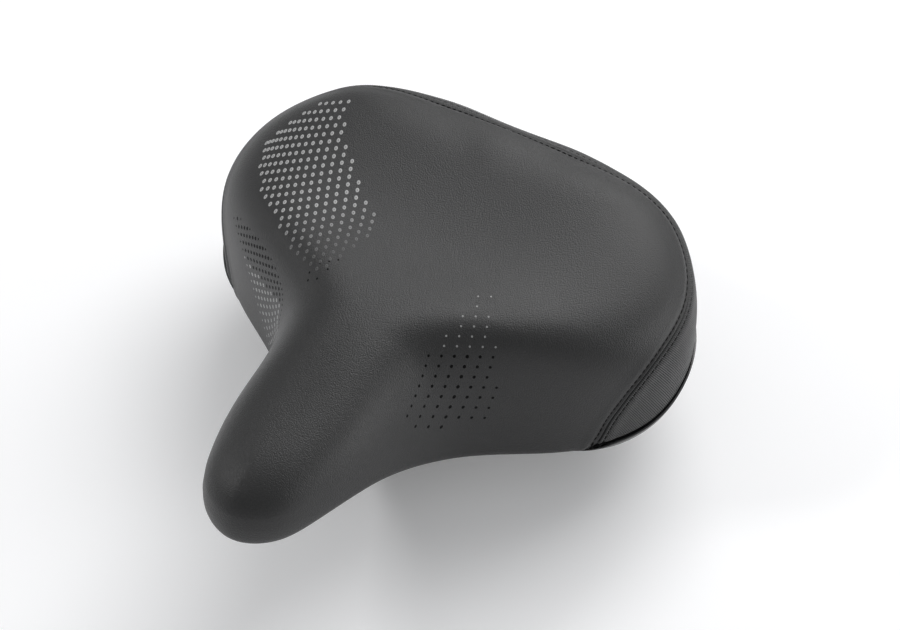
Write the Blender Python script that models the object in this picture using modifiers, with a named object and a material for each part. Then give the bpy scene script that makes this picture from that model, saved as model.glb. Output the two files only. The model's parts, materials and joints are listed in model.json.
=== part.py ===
"""Bicycle saddle: a wide sprung comfort saddle, nose towards -Y, standing on the underside of its rails.

A bent steel wire makes the nose loop and both rails. A pressed bridge on the rails carries two coil springs.
The padded top turns on the nose loop and rests on the springs. Lengths below are in millimetres.
"""

import math

import bmesh
import bpy
import numpy as np

MM = 0.001

# Plan of the brim, right half, from the nose to the middle of the back: (x, y).
OUTLINE = [(0, -133), (18, -124), (26, -108.5), (33, -79), (37, -52), (48.5, -23.5), (77, -0.5),
           (101, 17.5), (115.5, 37.5), (118, 66.5), (107, 92), (87, 114), (52, 132), (0, 128)]
# Side view, each as (y, value): height of the brim, height of the top, how far the wings stand proud
# of the top, and how square the cross-section is.
BRIM_Z = [(-133, 76), (-72, 66.5), (-20, 40), (23, 39.5), (80, 54), (138, 48.5)]
TOP_Z = [(-112, 101.5), (-72, 105.5), (-22, 111), (28, 106), (83, 110.5), (123, 116.5)]
WING_LIFT = [(-32, 0), (28, 4.5), (78, 4), (138, 4)]
SQUARE = [(-133, 2.65), (-32, 2.65), (8, 3.55), (103, 3.65), (138, 2.2)]
# Where each cross-section's rib meets the middle line: (distance along the brim, y).
SPINE = [(0, -99), (30, -88), (90, -48.5), (150, -15), (210, 10), (270, 48), (330, 73), (398, 79)]
HEM_TUCK, HEM_DROP, FLAP = 6, 8, 8
SKIN = 1.6
PLASTIC = 3.0
GAP = 0.4

# The seam between the top cover and the rear panel: (distance along the brim, height).
SEAM = [(188, 32), (191.4, 40), (194.4, 48.4), (199.5, 58.4), (204.4, 65.4), (210, 71.2), (216.2, 75.9),
        (223.3, 79.6), (231.3, 82.3), (242.2, 84.7), (254.8, 87), (268, 89.8), (285, 94.6), (302, 101),
        (320, 104.6), (350, 106.4), (398, 107)]
SEAM_GAP = 1.1
THREAD_R = 0.35

# Underside of the base shell: its flat middle, as (y, height).
ARCH_Z = [(-82, 73.5), (-30, 65), (50, 61.3), (138, 61.3)]
RIM_INSET, RIM_BELOW = 5.8, 5.7

RAIL_D, RAIL_X = 7.0, 22.0
RAIL_FRONT_Y, RAIL_BACK_Y = 4.0, 90.0
PIVOT_Y, PIVOT_Z = -98.0, 68.0
LOOP_X, LOOP_R, RAIL_BEND_R = 10.8, 7.0, 30.0
FLATS = math.cos(math.pi / 8)
RAIL_R = RAIL_D / 2 / FLATS

SPRING_X, SPRING_Y = 50.0, 78.0
SPRING_R, SPRING_WIRE, SPRING_TURNS = 13.9, 4.5, 4.75
BRIDGE_BOTTOM, BRIDGE_T = RAIL_D + 0.5, 2.5
BRIDGE_TOP = BRIDGE_BOTTOM + BRIDGE_T
SEAT_R, SEAT_T, SEAT_LIP = 18.2, 2.2, 4.4
BOLT_R, BOLT_HOLE_R, HEAD_R, HEAD_H = 3.7, 4.3, 7.0, 3.0
PAD_BOTTOM = 61.3
UPPER_SEAT_TOP = PAD_BOTTOM - 0.3
LOWER_SEAT_BOTTOM = BRIDGE_TOP + 0.3
SPRING_BOTTOM = LOWER_SEAT_BOTTOM + SEAT_T + 0.3
SPRING_TOP = UPPER_SEAT_TOP - SEAT_T - 0.3

BRACKET_W, BRACKET_T, BRACKET_EAR = 8.4, 2.0, 13.6
BRACKET_SCREW = 10.2
SMALL_R, SMALL_HOLE_R, SMALL_HEAD_R = 1.5, 1.9, 3.2
BUMPER_START, BUMPER_FULL = 177.0, 202.0
FLANGE_REACH, FLANGE_T = 14.0, 2.4
LIP_TOP, LIP_T, LIP_ROOT_T = math.radians(17.5), 0.8, 1.5
BUMPER_SCREWS = (232, 330)
BUMPER_SCREW_INSET = 10.4

STEEL = (0.55, 0.56, 0.58)
COLOURS = {
    "pu_cover": ((0.06, 0.06, 0.062), 0.62, 0),
    "ribbed_panel": ((0.08, 0.08, 0.083), 0.7, 0),
    "foam": ((0.72, 0.7, 0.62), 0.95, 0),
    "shell_plastic": ((0.03, 0.03, 0.03), 0.5, 0),
    "gloss_plastic": ((0.015, 0.015, 0.016), 0.18, 0),
    "thread": ((0.02, 0.02, 0.02), 0.8, 0),
    "black_steel": ((0.03, 0.03, 0.032), 0.35, 0.6),
    "zinc_steel": (STEEL, 0.35, 1),
    "spring_steel": ((0.05, 0.05, 0.052), 0.3, 0.7),
}


def clear_scene():
    for old in list(bpy.data.objects):
        bpy.data.objects.remove(old, do_unlink=True)


def new_collection(name):
    made = bpy.data.collections.new(name)
    bpy.context.scene.collection.children.link(made)
    return made


def material(slot):
    if slot in bpy.data.materials:
        return bpy.data.materials[slot]
    colour, roughness, metallic = COLOURS[slot]
    made = bpy.data.materials.new(slot)
    made.use_nodes = True
    shader = made.node_tree.nodes["Principled BSDF"]
    shader.inputs["Base Color"].default_value = (*colour, 1)
    shader.inputs["Roughness"].default_value = roughness
    shader.inputs["Metallic"].default_value = metallic
    return made


def add(name, data, slot, collection, smooth=True):
    """Links new data as an object of the collection, with the slot's material."""
    made = bpy.data.objects.new(name, data)
    collection.objects.link(made)
    if slot:
        data.materials.append(material(slot))
    if smooth and isinstance(data, bpy.types.Mesh):
        data.shade_smooth()
        data.set_sharp_from_angle(angle=math.radians(35))
    return made


def modifier(obj, kind, **settings):
    made = obj.modifiers.new(kind.title(), kind)
    for key, value in settings.items():
        setattr(made, key, value)
    return made


def cut(obj, cutter):
    modifier(obj, "BOOLEAN", operation="DIFFERENCE", solver="EXACT", object=cutter)


# Curves that the design's numbers are read from.

def spline(points):
    """Natural cubic spline through (t, value) points, carried on past both ends."""
    ts = np.array([p[0] for p in points], float)
    vs = np.array([p[1] for p in points], float)
    count, h = len(ts), np.diff(ts)
    a, b = np.eye(count), np.zeros(vs.shape)
    for i in range(1, count - 1):
        a[i, i - 1:i + 2] = h[i - 1], 2 * (h[i - 1] + h[i]), h[i]
        b[i] = 6 * ((vs[i + 1] - vs[i]) / h[i] - (vs[i] - vs[i - 1]) / h[i - 1])
    m = np.linalg.solve(a, b)

    def at(t):
        t = np.asarray(t, float)
        i = np.clip(np.searchsorted(ts, t) - 1, 0, count - 2)
        grow = (...,) + (None,) * (vs.ndim - 1)
        u, v, w = (t - ts[i])[grow], (ts[i + 1] - t)[grow], h[i][grow]
        return (m[i] * v**3 + m[i + 1] * u**3) / (6 * w) + (vs[i] / w - m[i] * w / 6) * v \
            + (vs[i + 1] / w - m[i + 1] * w / 6) * u

    return at


def eased(points, y):
    """Value at y of (y, value) points joined by smooth steps, level past both ends."""
    ys = np.array([p[0] for p in points], float)
    vs = np.array([p[1] for p in points], float)
    y = np.clip(y, ys[0], ys[-1])
    i = np.clip(np.searchsorted(ys, y) - 1, 0, len(ys) - 2)
    t = (y - ys[i]) / (ys[i + 1] - ys[i])
    return vs[i] + (vs[i + 1] - vs[i]) * t * t * (3 - 2 * t)


def brim_curve():
    """Fine points along the brim's right half, their outward normals and their distances along it."""
    half = np.array(OUTLINE, float)
    mirrored = half * (-1, 1)
    points = np.vstack([mirrored[4:0:-1], half, mirrored[-2:-6:-1]])
    steps = np.linalg.norm(np.diff(points, axis=0), axis=1) ** 0.75
    knots = np.concatenate([[0], np.cumsum(steps)])
    curve = spline(list(zip(knots, points)))
    plan = curve(np.linspace(knots[4], knots[3 + len(half)], 4000))
    along = np.concatenate([[0], np.cumsum(np.linalg.norm(np.diff(plan, axis=0), axis=1))])
    tangent = np.gradient(plan, axis=0)
    normal = np.stack([tangent[:, 1], -tangent[:, 0]], 1)
    normal /= np.linalg.norm(normal, axis=1)[:, None]
    normal[0], normal[-1] = (0, -1), (0, 1)
    return plan, normal, along


BRIM, BRIM_NORMAL, BRIM_S = brim_curve()
BRIM_LENGTH = BRIM_S[-1]
brim_z, top_z = spline(BRIM_Z), spline(TOP_Z)


def brim_at(s):
    """Plan point and outward normal at distance s along the brim."""
    point = np.stack([np.interp(s, BRIM_S, BRIM[:, k]) for k in (0, 1)], -1)
    normal = np.stack([np.interp(s, BRIM_S, BRIM_NORMAL[:, k]) for k in (0, 1)], -1)
    return point, normal / np.linalg.norm(normal, axis=-1)[..., None]


def spine_at(s):
    """Where the rib at distance s meets the middle line, in plan."""
    y = spline(SPINE)(s)
    return np.stack([0 * y, y], -1)


def skin_point(s, q):
    """Point of the outer skin at distance s along the brim and height step q.

    Step 0 is the flap's edge, 1 the bottom of the hem, 2 the brim and 3 the middle line.
    """
    s, q = np.broadcast_arrays(np.asarray(s, float), np.asarray(q, float))
    point, normal = brim_at(s)
    y = point[..., 1]
    base, power, lift = brim_z(y), eased(SQUARE, y), eased(WING_LIFT, y)
    angle = np.clip(q - 2, 0, 1) * math.pi / 2
    out = np.maximum(np.cos(angle), 0) ** (2 / power)
    out = np.where(q >= 3, 0, out)
    up = np.sin(angle) ** (2 / power)
    spine = spine_at(s)
    plan = spine + (point - spine) * out[..., None]
    height = base + (top_z(plan[..., 1]) + lift * out**2 - base) * up
    hem = np.clip(2 - q, 0, 1) * math.pi / 2
    tuck = HEM_TUCK * (1 - np.cos(hem)) + FLAP * np.clip(1 - q, 0, 1)
    plan = plan - normal * tuck[..., None]
    return np.concatenate([plan, (height - HEM_DROP * np.sin(hem))[..., None]], -1)


def stations(first=0.0):
    """Distances along the brim of the lofts' cross-sections, closest round the nose and up the seam."""
    runs = [(0, 36, 6), (36, 174, 8), (174, SEAM[0][0], 2), (SEAM[0][0], 226, 9)]
    s = np.concatenate([np.linspace(a, b, n, endpoint=False) for a, b, n in runs]
                       + [np.linspace(226, BRIM_LENGTH, 9)])
    return s[s >= first]


def skin_normal(s, q):
    """Outward normal of the skin, from small steps along and across it."""
    q = np.clip(q, 0.02, 2.98)
    along = skin_point(s + 0.5, q) - skin_point(s - 0.5, q)
    across = skin_point(s, q + 0.01) - skin_point(s, q - 0.01)
    normal = np.cross(along, across)
    return normal / np.linalg.norm(normal, axis=-1)[..., None]


def step_at_height(s, z):
    """Height step at which the skin first reaches height z, by halving."""
    low, high = np.ones(len(s)), np.full(len(s), 2.8)
    for _ in range(30):
        middle = (low + high) / 2
        under = skin_point(s, middle)[:, 2] < z
        low, high = np.where(under, middle, low), np.where(under, high, middle)
    return low


def seam_curve():
    """Stations of the seam, its points, the skin's normals there and the way across it, upwards."""
    s = stations(SEAM[0][0])
    q = step_at_height(s, spline(SEAM)(s))
    points, normals = skin_point(s, q), skin_normal(s, q)
    tangent = np.gradient(points, axis=0)
    tangent /= np.linalg.norm(tangent, axis=1)[:, None]
    across = np.cross(tangent, normals)
    onward = np.concatenate([brim_at(s)[1] @ np.array([[0, 1], [-1, 0]]), 0 * s[:, None]], 1)
    across *= np.sign(np.sum(across * ((0, 0, 1) - onward), 1))[:, None]
    return s, points, normals, across


def offset_grid(grid, distance):
    """The grid moved along its own normals; x stays 0 in the plane of symmetry."""
    normal = np.cross(np.gradient(grid, axis=0), np.gradient(grid, axis=1))
    normal[grid[..., 0] < 0.02, 0] = 0
    length = np.linalg.norm(normal, axis=-1)[..., None]
    normal = np.where(length > 1e-3, normal / np.maximum(length, 1e-3), (0, 0, 1))
    return grid + normal * distance


def facing(corners, on_plane):
    """The quad's corners, without one that would leave a face lying in the plane of symmetry."""
    flat = [c for c in corners if on_plane[c]]
    if len(flat) < 3:
        return corners
    if len(flat) == 4:
        return None
    off = next(i for i, c in enumerate(corners) if not on_plane[c])
    return tuple(c for i, c in enumerate(corners) if i != (off + 2) % 4)


def grid_mesh(name, grid):
    """Mesh of quads over a grid of points: rows are stations, columns run across."""
    rows, cols = grid.shape[:2]
    points = np.where(abs(grid) < 0.02, 0, grid).reshape(-1, 3)
    on_plane = points[:, 0] == 0
    quads = [(i * cols + j, (i + 1) * cols + j, (i + 1) * cols + j + 1, i * cols + j + 1)
             for i in range(rows - 1) for j in range(cols - 1)]
    faces = [face for face in (facing(quad, on_plane) for quad in quads) if face]
    used = sorted({corner for face in faces for corner in face})
    place = {corner: i for i, corner in enumerate(used)}
    mesh = bpy.data.meshes.new(name)
    mesh.from_pydata((points[used] * MM).tolist(), [], [[place[c] for c in face] for face in faces])
    return mesh


def mirrored(obj):
    modifier(obj, "MIRROR", use_mirror_merge=True, merge_threshold=0.00005, use_clip=True)


def solidified(obj, thickness):
    modifier(obj, "SOLIDIFY", thickness=thickness * MM, offset=-1)


def tube(name, points, radius, slot, collection, flat_side_down=False):
    """Round wire through the points, eight-sided, with closed ends."""
    data = bpy.data.curves.new(name, "CURVE")
    data.dimensions = "3D"
    data.twist_mode = "Z_UP"
    data.bevel_depth = radius * MM
    data.bevel_resolution = 2
    data.use_fill_caps = True
    run = data.splines.new("POLY")
    run.points.add(len(points) - 1)
    for place, point in zip(run.points, points):
        place.co = (*(c * MM for c in point), 1)
        place.tilt = math.pi / 8 if flat_side_down else 0
    return add(name, data, slot, collection)


def plate(name, outlines, thickness, slot, collection, location, rotation=(0, 0, 0)):
    """Flat plate: the first outline is its edge and the others are holes."""
    data = bpy.data.curves.new(name, "CURVE")
    data.dimensions = "2D"
    data.fill_mode = "BOTH"
    data.extrude = thickness / 2 * MM
    for outline in outlines:
        run = data.splines.new("POLY")
        run.points.add(len(outline) - 1)
        run.use_cyclic_u = True
        for place, point in zip(run.points, outline):
            place.co = (point[0] * MM, point[1] * MM, 0, 1)
    made = add(name, data, slot, collection)
    made.location = [c * MM for c in location]
    made.rotation_euler = rotation
    return made


def circle(centre, radius, steps=16, start=0.0, end=360.0):
    """Points round a circle, or along part of it when start and end are given."""
    whole = end - start >= 360
    angles = np.radians(np.linspace(start, end, steps, endpoint=not whole))
    return [(centre[0] + radius * math.cos(a), centre[1] + radius * math.sin(a)) for a in angles]


def turned(name, profile, slot, collection, location, steps=16, closed=False):
    """Solid turned about Z from an (r, z) profile that runs down its outer side."""
    mesh = bpy.data.meshes.new(name)
    count = len(profile)
    edges = [(i, (i + 1) % count) for i in range(count if closed else count - 1)]
    mesh.from_pydata([(r * MM, 0, z * MM) for r, z in profile], edges, [])
    made = add(name, mesh, slot, collection)
    made.location = [c * MM for c in location]
    modifier(made, "SCREW", steps=steps, render_steps=steps, use_merge_vertices=True,
             merge_threshold=0.00001, use_normal_calculate=False, use_smooth_shade=True)
    return made


# The padded top.

def hole_cutter(places):
    """One hidden cutter of upright cylinders, from (x, y, radius, bottom, top)."""
    mesh = bpy.data.meshes.new("hole_cutter")
    points, faces = [], []
    for x, y, radius, bottom, top in places:
        ring = circle((x, y), radius)
        n, first = len(ring), len(points)
        points += [(px * MM, py * MM, bottom * MM) for px, py in ring]
        points += [(px * MM, py * MM, top * MM) for px, py in ring]
        faces.append([first + i for i in reversed(range(n))])
        faces.append([first + n + i for i in range(n)])
        faces += [(first + i, first + (i + 1) % n, first + n + (i + 1) % n, first + n + i)
                  for i in range(n)]
    mesh.from_pydata(points, [], faces)
    made = add("hole_cutter", mesh, None, CUTTERS, smooth=False)
    made.hide_render = True
    made.display_type = "WIRE"
    return made


def bumper_screw_places():
    """(x, y, z of the flap's underside) of the bumper's screws, both sides."""
    point, normal = brim_at(np.array(BUMPER_SCREWS, float))
    plan = point - normal * BUMPER_SCREW_INSET
    height = brim_z(point[:, 1]) - HEM_DROP
    return [(side * x, y, z) for (x, y), z in zip(plan, height) for side in (-1, 1)]


def insert_pockets():
    """Cutter of the room in the foam for the threaded inserts' flanges."""
    bottom = PAD_BOTTOM + PLASTIC
    return hole_cutter([(side * SPRING_X, SPRING_Y, 9.7, bottom - 1, bottom + 3) for side in (-1, 1)])


def all_holes():
    """Cutter of every screw and bolt hole."""
    places = []
    for side in (-1, 1):
        x = side * SPRING_X
        places.append((x, SPRING_Y, BOLT_HOLE_R, 0, LOWER_SEAT_BOTTOM + SEAT_T + 1))
        places.append((x, SPRING_Y, BOLT_HOLE_R, UPPER_SEAT_TOP - SEAT_T - 1, UPPER_SEAT_TOP + 0.1))
        places.append((x, SPRING_Y, BOLT_HOLE_R + 1.3, UPPER_SEAT_TOP + 0.1, PAD_BOTTOM + PLASTIC + 0.2))
        y = PIVOT_Y + side * BRACKET_SCREW
        places.append((0, y, SMALL_HOLE_R, PIVOT_Z, ARCH_Z[0][1] + PLASTIC + 0.3))
    places += [(x, y, SMALL_HOLE_R, z - 5, z + 5.4) for x, y, z in bumper_screw_places()]
    return hole_cutter(places)


def skin_rows(first):
    """Height steps of the skin's points from a first one on, closest round the hem and the shoulder."""
    rows = np.array([0, 1, 1.35, 1.7] + [2 + a / 90 for a in (0, 8, 17, 28, 40, 54, 71, 90)])
    return rows[rows >= first]


def whole_skin(name, slot, parts):
    """The skin from flap to flap, before it is cut along the seam."""
    grid = skin_point(stations()[:, None], skin_rows(0)[None, :])
    made = add(name, grid_mesh(name, grid), slot, parts)
    mirrored(made)
    solidified(made, SKIN)
    return made


def seam_block(name, shift):
    """Hidden block that holds the whole rear panel, its upper faces moved across the seam by shift."""
    s, points, normals, across = seam_curve()
    brim, out = brim_at(s)
    deep = brim_z(brim[:, 1])[:, None] - 3 * HEM_DROP
    low = [np.concatenate([brim + out * reach, deep], 1) for reach in (-22, 14)]
    above = points + normals * 9
    outer = np.concatenate([brim + out * 14, above[:, 2:]], 1)
    shifts = shift * across
    first = shifts * (s < SEAM[1][0])[:, None]
    grid = np.stack([above + shifts, points - normals * 9 + shifts, low[0] + first, low[1] + first,
                     outer + shifts, above + shifts], 1)
    grid[-1, :, 0] = 0
    mesh = grid_mesh(name, grid)
    made = add(name, mesh, None, CUTTERS, smooth=False)
    close_ends(mesh)
    mirrored(made)
    made.hide_render = True
    made.display_type = "WIRE"
    return made


def make_skins(parts, holes):
    """The top cover and the rear panel, cut from one skin with a gap along the seam."""
    cover = whole_skin("top_cover", "pu_cover", parts)
    cut(cover, seam_block("seam_block_outer", SEAM_GAP))
    panel = whole_skin("rear_panel", "ribbed_panel", parts)
    modifier(panel, "BOOLEAN", operation="INTERSECT", solver="EXACT",
             object=seam_block("seam_block_inner", -SEAM_GAP))
    cut(panel, holes)


def make_seam_thread(parts):
    points, normals = (part[1:] for part in seam_curve()[1:3])
    half = points - normals * SKIN / 2
    path = list(half) + [(-x, y, z) for x, y, z in half[-2::-1]]
    tube("seam_thread", path, THREAD_R, "thread", parts)


def shell_grid(lift=0.0):
    """Underside of the base shell: a level rim, a rise, then a flat middle. lift moves it up and out."""
    s = stations()
    point, normal = brim_at(s)
    edge, land = point - normal * RIM_INSET, point - normal * (HEM_TUCK + FLAP + 1)
    inward = spine_at(s) - land
    rise = 0.15 * np.array([0, 0.35, 0.7, 1])
    plan = np.stack([edge, *(land + inward * part for part in (*rise, 0.6, 1))], 1)
    plan[:, 1:5] += normal[:, None] * lift
    level = np.array([0, 0, 0.25, 0.8, 1, 1, 1])
    rim = brim_z(point[:, 1])[:, None] - RIM_BELOW
    middle = eased(ARCH_Z, plan[..., 1])
    return np.concatenate([plan, (rim + (middle - rim) * level + lift)[..., None]], -1)


def make_base_shell(parts, holes):
    made = add("base_shell", grid_mesh("base_shell", shell_grid()[:, ::-1]), "shell_plastic", parts)
    mirrored(made)
    solidified(made, PLASTIC)
    cut(made, holes)


def make_foam_pad(parts, pockets):
    s = stations()
    top = offset_grid(skin_point(s[:, None], skin_rows(2)[None, :]), -SKIN - 2 * GAP)
    point, normal = brim_at(s)
    rim = np.concatenate([point - normal * 3.4, brim_z(point[:, 1:2]) - RIM_BELOW + PLASTIC + 2 * GAP], -1)
    bottom = shell_grid(PLASTIC + 2 * GAP)[:, ::-1]
    grid = np.concatenate([bottom, rim[:, None], top], 1)
    made = add("foam_pad", grid_mesh("foam_pad", grid), "foam", parts)
    mirrored(made)
    cut(made, pockets)


def bumper_section(top, full, steps=4):
    """(inset, drop) points round the bumper: a flange, and a lip that follows the hem up to the angle top."""
    angles = np.linspace(top, math.pi / 2, steps)
    hem = np.stack([HEM_TUCK * (1 - np.cos(angles)), HEM_DROP * np.sin(angles)], 1)
    out = np.stack([-HEM_DROP * np.cos(angles), HEM_TUCK * np.sin(angles)], 1)
    out /= np.linalg.norm(out, axis=1)[:, None]
    thickness = np.linspace(LIP_T, LIP_ROOT_T, steps)[:, None] * full
    inner, outer = hem + out * 1.5 * GAP, hem + out * (1.5 * GAP + thickness)
    reach, above = HEM_TUCK + (FLANGE_REACH - HEM_TUCK) * full, HEM_DROP + 2 * GAP
    below = above + FLANGE_T * full
    flange = [(reach, above), (reach, below), (HEM_TUCK + 1.6 * full, below)]
    return np.vstack([flange, outer[::-1], inner, flange[:1]])


def make_rear_bumper(parts, holes):
    """Glossy moulded rim under the back hem: a flange screwed to the base, and a lip in front of the hem."""
    s = stations(BUMPER_START)
    point, normal = brim_at(s)
    full = eased([(BUMPER_START, 0.3), (BUMPER_FULL, 1)], s)
    top = eased([(BUMPER_START, math.radians(75)), (BUMPER_FULL, LIP_TOP)], s)
    section = np.array([bumper_section(a, part) for a, part in zip(top, full)])
    plan = point[:, None] - normal[:, None] * section[..., :1]
    height = brim_z(point[:, 1])[:, None] - section[..., 1]
    mesh = grid_mesh("rear_bumper", np.concatenate([plan, height[..., None]], -1))
    made = add("rear_bumper", mesh, "gloss_plastic", parts)
    close_ends(mesh)
    mirrored(made)
    cut(made, holes)


def close_ends(mesh):
    """Joins a section's last column to its first, and caps the end that is off the plane of symmetry."""
    work = bmesh.new()
    work.from_mesh(mesh)
    bmesh.ops.remove_doubles(work, verts=work.verts, dist=0.01 * MM)
    work.verts.ensure_lookup_table()
    ends = [e for e in work.edges if e.is_boundary and max(abs(v.co.x) for v in e.verts) > MM]
    bmesh.ops.holes_fill(work, edges=ends)
    bmesh.ops.recalc_face_normals(work, faces=work.faces)
    work.to_mesh(mesh)
    work.free()


# Fasteners, brackets and springs.

def button_bolt(name, head, shank, tip, slot, collection, location, steps=12):
    """Button-head bolt turned about Z: head is (radius, height), shank its radius, tip its length."""
    radius, height = head
    key = radius * 0.4
    profile = [(0, tip), (shank * 0.8, tip), (shank, tip - 0.2 * shank), (shank, 0), (radius, 0),
               (radius, -0.4 * height), (radius * 0.75, -height), (key, -height), (key, -0.45 * height),
               (0, -0.45 * height)]
    return turned(name, profile, slot, collection, location, steps)


def omega_strap(wire_r, top, ear):
    """Outline of a strap that hangs round a wire at (0, 0), its ears' upper face at height top."""
    inner = wire_r + 0.35
    outer = inner + BRACKET_T
    under = circle((0, 0), outer, 9, 180, 359.9)
    inside = circle((0, 0), inner, 9, 359.9, 180)
    return [(-ear, top), (-ear, top - BRACKET_T), (-outer, top - BRACKET_T), *under,
            (outer, top - BRACKET_T), (ear, top - BRACKET_T), (ear, top), (inner, top), *inside, (-inner, top)]


def as_mesh(obj, collection):
    """Replaces a curve object with the mesh it makes, its caps welded on, so that it can be cut."""
    bpy.context.view_layer.update()
    evaluated = obj.evaluated_get(bpy.context.evaluated_depsgraph_get())
    mesh = bpy.data.meshes.new_from_object(evaluated)
    work = bmesh.new()
    work.from_mesh(mesh)
    bmesh.ops.remove_doubles(work, verts=work.verts, dist=0.001 * MM)
    work.to_mesh(mesh)
    work.free()
    name, place = obj.name, obj.matrix_world.copy()
    bpy.data.objects.remove(obj, do_unlink=True)
    made = bpy.data.objects.new(name, mesh)
    made.matrix_world = place
    collection.objects.link(made)
    return made


def make_nose_bracket(parts, holes):
    """Strap that holds the nose loop under the base, with one screw before it and one behind."""
    outline = omega_strap(RAIL_R, ARCH_Z[0][1] - 0.3 - PIVOT_Z, BRACKET_EAR)
    strap = plate("nose_bracket", [outline], BRACKET_W, "black_steel", parts,
                  (0, PIVOT_Y, PIVOT_Z), (math.pi / 2, 0, math.pi / 2))
    cut(as_mesh(strap, parts), holes)


def make_screws(parts):
    ear_bottom = ARCH_Z[0][1] - 0.3 - BRACKET_T
    for name, side in (("nose_screw_front", -1), ("nose_screw_rear", 1)):
        place = (0, PIVOT_Y + side * BRACKET_SCREW, ear_bottom - 0.3)
        button_bolt(name, (SMALL_HEAD_R, 2.2), SMALL_R, 5, "zinc_steel", parts, place)
    for number, (x, y, z) in enumerate(bumper_screw_places()):
        place = (x, y, z - 2 * GAP - 3.7)
        button_bolt(f"bumper_screw_{number + 1}", (SMALL_HEAD_R, 1.6), SMALL_R, 8.4, "zinc_steel", parts, place, 8)


def fillet(points, radii, steps=6):
    """The polyline with the numbered corners rounded to their radii."""
    out = [points[0]]
    for i in range(1, len(points) - 1):
        here = np.array(points[i], float)
        back, ahead = (np.array(points[j], float) - here for j in (i - 1, i + 1))
        back, ahead = back / np.linalg.norm(back), ahead / np.linalg.norm(ahead)
        half = math.acos(float(back @ ahead)) / 2
        middle = (back + ahead) / np.linalg.norm(back + ahead)
        centre = here + middle * radii[i] / math.sin(half)
        across = np.cross(np.cross(back, ahead), middle)
        across /= np.linalg.norm(across)
        for t in np.linspace(-1, 1, steps):
            turn = t * (math.pi / 2 - half)
            out.append(tuple(centre + radii[i] * (across * math.sin(turn) - middle * math.cos(turn))))
    return out + [points[-1]]


def make_rail_wire(parts):
    """One bent wire: both rails, the two struts and the nose loop."""
    half = [(0, PIVOT_Y, PIVOT_Z), (LOOP_X, PIVOT_Y, PIVOT_Z), (RAIL_X, RAIL_FRONT_Y, RAIL_D / 2),
            (RAIL_X, RAIL_BACK_Y, RAIL_D / 2)]
    half = fillet(half, {1: LOOP_R, 2: RAIL_BEND_R})[1:]
    path = [(-x, y, z) for x, y, z in reversed(half)] + half
    tube("rail_wire", path, RAIL_R, "black_steel", parts, flat_side_down=True)


def bridge_outline():
    """Plate across both rails with a round end under each spring."""
    right = [(40, SPRING_Y - 18), *circle((SPRING_X, SPRING_Y), 19.5, 11, -80, 100), (36, SPRING_Y + 13)]
    return right + [(-x, y) for x, y in reversed(right)]


def make_bridge(parts):
    holes = [circle((side * SPRING_X, SPRING_Y), BOLT_HOLE_R) for side in (-1, 1)]
    holes.append(circle((0, SPRING_Y - 2), 9))
    plate("spring_bridge", [bridge_outline(), *holes], BRIDGE_T, "black_steel", parts,
          (0, 0, BRIDGE_BOTTOM + BRIDGE_T / 2))


def coil(bottom, top):
    """Centre line of a spring with closed ends, from its lower to its upper face."""
    turns = np.linspace(0, SPRING_TURNS, int(SPRING_TURNS * 10) + 1)
    closed_rise = SPRING_WIRE * 1.04
    low, high = bottom + SPRING_WIRE / 2, top - SPRING_WIRE / 2
    ends = 0.7
    z = np.interp(turns, [0, ends, SPRING_TURNS - ends, SPRING_TURNS],
                  [low, low + ends * closed_rise, high - ends * closed_rise, high])
    return [(SPRING_R * math.cos(t), SPRING_R * math.sin(t), h) for t, h in zip(turns * 2 * math.pi, z)]


def make_springs(parts):
    """The two coil springs, with the cup, bolt, washer, nut or insert at each end."""
    cup = [(SEAT_R, SEAT_LIP), (SEAT_R, -SEAT_T), (BOLT_HOLE_R, -SEAT_T), (BOLT_HOLE_R, 0),
           (SEAT_R - 1.5, 0), (SEAT_R - 1.5, SEAT_LIP)]
    upside_down = [(r, -z) for r, z in reversed(cup)]
    washer = [(8.2, 1.4), (8.2, 0), (BOLT_HOLE_R, 0), (BOLT_HOLE_R, 1.4)]
    insert = [(9, 1.5), (9, 0), (BOLT_HOLE_R + 0.9, 0), (BOLT_HOLE_R + 0.9, -2.6),
              (BOLT_R + 0.3, -2.6), (BOLT_R + 0.3, 1.5)]
    nut = [circle((0, 0), 7.5, 6), circle((0, 0), BOLT_R + 0.3)]
    low, high = LOWER_SEAT_BOTTOM + SEAT_T, UPPER_SEAT_TOP - SEAT_T
    insert_z = PAD_BOTTOM + PLASTIC + 0.3
    for end, side in (("left", -1), ("right", 1)):
        x = side * SPRING_X
        points = [(x + side * a, SPRING_Y + b, c) for a, b, c in coil(SPRING_BOTTOM, SPRING_TOP)]
        tube(f"coil_spring_{end}", points, SPRING_WIRE / 2, "spring_steel", parts)
        for name, profile, z in (("lower_spring_seat", cup, low), ("upper_spring_seat", upside_down, high),
                                 ("lower_spring_washer", washer, low + 0.3),
                                 ("threaded_insert", insert, insert_z)):
            turned(f"{name}_{end}", profile, "zinc_steel", parts, (x, SPRING_Y, z), closed=True)
        plate(f"lower_spring_nut_{end}", nut, 6, "zinc_steel", parts, (x, SPRING_Y, low + 5))
        for name, z, length in (("lower_spring_bolt", BRIDGE_BOTTOM - 0.3, 16),
                                ("upper_spring_bolt", high - 0.3, insert_z + 1.5 - high)):
            button_bolt(f"{name}_{end}", (HEAD_R, HEAD_H), BOLT_R, length, "zinc_steel", parts,
                        (x, SPRING_Y, z))


clear_scene()
PARTS = new_collection("bicycle_saddle")
CUTTERS = new_collection("cutters")
HOLES = all_holes()
make_skins(PARTS, HOLES)
make_seam_thread(PARTS)
make_base_shell(PARTS, HOLES)
make_foam_pad(PARTS, insert_pockets())
make_rear_bumper(PARTS, HOLES)
make_nose_bracket(PARTS, HOLES)
make_screws(PARTS)
make_rail_wire(PARTS)
make_bridge(PARTS)
make_springs(PARTS)
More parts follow.
